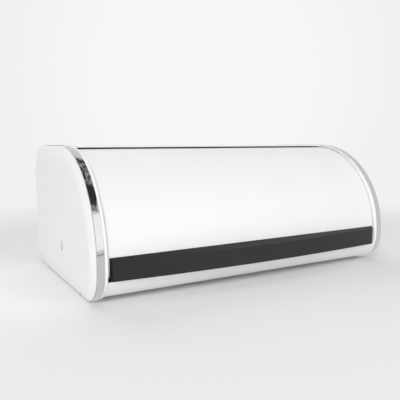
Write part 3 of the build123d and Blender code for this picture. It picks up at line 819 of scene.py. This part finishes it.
def feet(hand):
    """Rubber feet under one end."""
    for place in ("front", "rear"):
        node = f"{hand}_{place}_foot"
        low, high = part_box(node)
        length, radius = high.z - low.z, (high.x - low.x) / 2
        round_piece(f"{hand}_{place}_rubber_foot", node, [
            *reversed(rounded(0, radius)), (FOOT_STAND, radius), (FOOT_STAND, FOOT_STEM),
            (length - SOFT_EDGE, FOOT_STEM), (length, FOOT_STEM - SOFT_EDGE),
        ], Vector((0, 0, 1)))


# Camera, fitted to the photograph's frame of 400 by 400 pixels
FRAME_PIXELS = 400
FOCAL_PIXELS = 496.5
SENSOR = 36.0
CAMERA_PLACE = (-0.38106, -0.62436, 0.17831)
CAMERA_YAW = radians(30.236)
CAMERA_PITCH = radians(6.791)


def camera():
    """The photograph's viewpoint."""
    data = bpy.data.cameras.new("camera")
    data.sensor_width = SENSOR
    data.lens = SENSOR * FOCAL_PIXELS / FRAME_PIXELS
    viewer = bpy.data.objects.new("camera", data)
    viewer.location = CAMERA_PLACE
    viewer.rotation_euler = (pi / 2 - CAMERA_PITCH, 0, -CAMERA_YAW)
    bpy.context.collection.objects.link(viewer)
    bpy.context.scene.camera = viewer


# Studio: a pale floor that fades into the backdrop, soft boxes, and dark cards that only mirrors show
FLOOR_SIZE = 6.0
FADE_START = 0.3            # from the middle of the box
FADE_END = 0.9
MIRROR_FADE = 2.2           # how much sooner the floor fades in mirrors
WORLD_LIGHT = 0.04
BACKDROP = "F1F0F3"
GLOW = "F8F7FA"
GLOW_AIM = (0.5, 0.85, 0.12)
GLOW_EDGE = 0.93            # cosine at which the glow has faded into the backdrop
FLAG_HEIGHT = 1.0
FLAG_SIDES = (-0.45, 0.35)
FLAG_ENDS = (-1.0, 0.5)
FLAG_PLAIN = -0.52          # middle of the stretch without blotches
FLAG_HALF = 0.22            # half of that stretch
FLAG_BLOTCH = 0.08
FLAG_DARK, FLAG_PALE = 0.45, 0.56   # noise at which the card is plain dark, and fully grey; the grey is painted reflection
LOW_CARD_SIDES = (-0.2, 0.9)
LOW_CARD_ENDS = (-1.9, -1.15)
LOW_CARD_HEIGHT = 1 * MM    # just off the floor
REAR_CARD_SIDES = (-0.5, 1.6)
REAR_CARD_PLACE = 3.0       # behind the box
REAR_CARD_HEIGHT = 0.45
LIT_POINT = (0, 0, 0.1)
FRONT_BOX = ((0.3, -1.6, 0.7), (0, -0.1, 0.1), 1.2, 1.2, 0.5)   # place, aim, width, height, radiance
LAMPS = {                   # place, aim, width, height, radiance
    "left_key": ((-1.6, -2.0, 1.9), LIT_POINT, 1.45, 0.9, 8.1),
    "right_key": ((1.6, -2.3, 1.25), LIT_POINT, 1.45, 0.9, 4.4),
    "low_fill": ((-2.0, -2.5, 0.46), LIT_POINT, 1.8, 0.9, 5.8),
    "left_fill": ((-2.7, -0.55, 1.0), LIT_POINT, 1.8, 1.6, 1.27),
    "back_fill": ((0, 2.3, 2.1), LIT_POINT, 2.9, 1.8, 1.98),
    "top_fill": ((0, 0, 2.6), LIT_POINT, 2.15, 2.15, 1.6),
}


def oblong(sides, ends):
    """Corners of a rectangle in its own plane."""
    (left, right), (low, high) = sides, ends
    return (left, low), (right, low), (right, high), (left, high)


def stage_mesh(name, corners, material):
    """A flat stage piece through its corners."""
    mesh = bmesh.new()
    mesh.faces.new([mesh.verts.new(corner) for corner in corners])
    data = bpy.data.meshes.new(name)
    mesh.to_mesh(data)
    mesh.free()
    data.materials.append(material)
    piece = bpy.data.objects.new(name, data)
    bpy.context.collection.objects.link(piece)
    return piece


def floor():
    """Matt white paint that keeps the shadow and fades into the backdrop farther out."""
    material, tree, shader, place = new_finish("pale_floor_paint")
    put(tree, shader, {"Base Color": colour("F1F0EE"), "Roughness": 0.9})
    distance = put(tree, "ShaderNodeVectorMath", {0: place}, operation="LENGTH")
    ray = put(tree, "ShaderNodeLightPath", {}).outputs
    nearer = put(tree, "ShaderNodeMath", {
        0: ray["Is Glossy Ray"], 1: MIRROR_FADE, 2: 1.0,
    }, operation="MULTIPLY_ADD")
    reach = put(tree, "ShaderNodeMath", {
        0: distance.outputs["Value"], 1: nearer.outputs["Value"],
    }, operation="MULTIPLY")
    fade = put(tree, "ShaderNodeMapRange", {
        "Value": reach.outputs["Value"], "From Min": FADE_START, "From Max": FADE_END,
    }, interpolation_type="SMOOTHSTEP")
    seen = put(tree, "ShaderNodeMath", {
        0: ray["Is Camera Ray"], 1: ray["Is Glossy Ray"],
    }, operation="MAXIMUM")
    share = put(tree, "ShaderNodeMath", {
        0: fade.outputs["Result"], 1: seen.outputs["Value"],
    }, operation="MULTIPLY")
    clear = put(tree, "ShaderNodeBsdfTransparent", {})
    blend = put(tree, "ShaderNodeMixShader", {
        0: share.outputs["Value"], 1: shader.outputs["BSDF"], 2: clear.outputs["BSDF"],
    })
    put(tree, tree.nodes["Material Output"], {"Surface": blend.outputs["Shader"]})
    span = (-FLOOR_SIZE / 2, FLOOR_SIZE / 2)
    stage_mesh("floor", [(x, y, 0) for x, y in oblong(span, span)], material)


def world():
    """A faint even light, and a pale backdrop with a glow for the camera, mirrors and glass."""
    surroundings = bpy.data.worlds.new("studio")
    bpy.context.scene.world = surroundings
    surroundings.use_nodes = True
    tree = surroundings.node_tree
    lit = put(tree, tree.nodes["Background"], {"Color": (1, 1, 1, 1), "Strength": WORLD_LIGHT})
    aim = put(tree, "ShaderNodeTexCoord", {}).outputs["Generated"]
    middle = Vector(GLOW_AIM).normalized()
    toward = put(tree, "ShaderNodeVectorMath", {0: aim, 1: middle}, operation="DOT_PRODUCT")
    glow = put(tree, "ShaderNodeMapRange", {
        "Value": toward.outputs["Value"], "From Min": GLOW_EDGE, "From Max": 1.0,
    }, interpolation_type="SMOOTHSTEP")
    pale = put(tree, "ShaderNodeMix", {
        "Factor": glow.outputs["Result"], MIX_A: colour(BACKDROP), MIX_B: colour(GLOW),
    }, data_type="RGBA")
    seen = put(tree, "ShaderNodeBackground", {"Color": pale.outputs[MIX_OUT], "Strength": 1.0})
    ray = put(tree, "ShaderNodeLightPath", {}).outputs
    mirrored = put(tree, "ShaderNodeMath", {
        0: ray["Is Glossy Ray"], 1: ray["Is Transmission Ray"],
    }, operation="MAXIMUM")
    direct = put(tree, "ShaderNodeMath", {
        0: ray["Is Camera Ray"], 1: mirrored.outputs["Value"],
    }, operation="MAXIMUM")
    both = put(tree, "ShaderNodeMixShader", {
        0: direct.outputs["Value"], 1: lit.outputs["Background"], 2: seen.outputs["Background"],
    })
    put(tree, tree.nodes["World Output"], {"Surface": both.outputs["Shader"]})


def soft_box(name, place, aim, width, height, radiance, mirrored=False):
    """A rectangular lamp that looks at a point, as bright per area as its radiance."""
    lamp = bpy.data.lights.new(name, "AREA")
    lamp.shape = "RECTANGLE"
    lamp.size = width
    lamp.size_y = height
    lamp.energy = radiance * pi * width * height
    holder = bpy.data.objects.new(name, lamp)
    holder.location = place
    holder.rotation_euler = (Vector(aim) - Vector(place)).to_track_quat("-Z", "Y").to_euler()
    holder.visible_camera = False
    holder.visible_glossy = mirrored
    bpy.context.collection.objects.link(holder)


def mirror_card(name, corners, material):
    """A dark card that shows in mirrors alone."""
    card = stage_mesh(name, corners, material)
    card.visible_camera = False
    card.visible_diffuse = False
    card.visible_shadow = False
    card.visible_transmission = False


def flag():
    """A card overhead that only mirrors show: dark felt with grey blotches before and behind a plain dark
    stretch, a painted reflection for the chrome.
    """
    material, tree, shader, place = new_finish("black_felt_painted_reflection")
    across = put(tree, "ShaderNodeSeparateXYZ", {"Vector": place}).outputs["Y"]
    ahead = put(tree, "ShaderNodeMath", {0: across, 1: FLAG_PLAIN}, operation="SUBTRACT")
    away = put(tree, "ShaderNodeMath", {0: ahead.outputs["Value"]}, operation="ABSOLUTE")
    blotch_zone = put(tree, "ShaderNodeMapRange", {
        "Value": away.outputs["Value"], "From Min": FLAG_HALF, "From Max": FLAG_HALF + FLAG_BLOTCH,
    })
    blotch = put(tree, "ShaderNodeTexNoise", {"Vector": place, "Scale": 1 / FLAG_BLOTCH, "Detail": 1.0})
    patch = put(tree, "ShaderNodeMapRange", {
        "Value": blotch.outputs["Fac"], "From Min": FLAG_DARK, "From Max": FLAG_PALE,
    })
    share = put(tree, "ShaderNodeMath", {
        0: patch.outputs["Result"], 1: blotch_zone.outputs["Result"],
    }, operation="MULTIPLY")
    # grey blotches on the dark felt: painted reflection, seen only in the chrome
    felt = put(tree, "ShaderNodeMix", {
        "Factor": share.outputs["Value"], MIX_A: colour("383838"), MIX_B: colour("D8D6D4"),
    }, data_type="RGBA")
    put(tree, shader, {"Base Color": felt.outputs[MIX_OUT], "Roughness": 0.95})
    corners = [(x, y, FLAG_HEIGHT) for x, y in oblong(FLAG_SIDES, FLAG_ENDS)]
    mirror_card("overhead_flag", corners, material)


def dark_cards():
    """Smooth black card, one low in front and one upright behind, for thin dark lines in the chrome."""
    material, tree, shader, _ = new_finish("calendered_black_card")
    put(tree, shader, {"Base Color": colour("242322"), "Roughness": 0.7})
    low = oblong(LOW_CARD_SIDES, LOW_CARD_ENDS)
    mirror_card("low_card", [(x, y, LOW_CARD_HEIGHT) for x, y in low], material)
    upright = oblong(REAR_CARD_SIDES, (0, REAR_CARD_HEIGHT))
    mirror_card("rear_card", [(x, REAR_CARD_PLACE, z) for x, z in upright], material)


body_sheet()
lid()
handle()
for side, hand in ((1, "right"), (-1, "left")):
    end_cap(side, hand)
    trim_strip(side, hand)
    outwards = Vector((side, 0, 0))
    pivot_pin(outwards, hand)
    pivot_bush(outwards, hand)
    pivot_clip(outwards, hand)
    pivot_cover(outwards, hand)
    stops(outwards, hand)
    feet(hand)
for set_name in ("end_cap_screws", "shell_screws", "handle_screws"):
    screws(f"recessed_{set_name}", set_name)
for node, obj in frame["nodes"].items():
    if not obj.hide_render:
        dress(obj, node)
camera()
floor()
world()
soft_box("front_box", *FRONT_BOX, mirrored=True)
for lamp_name, lamp_values in LAMPS.items():
    soft_box(lamp_name, *lamp_values)
flag()
dark_cards()
bpy.context.scene.view_settings.view_transform = "Standard"
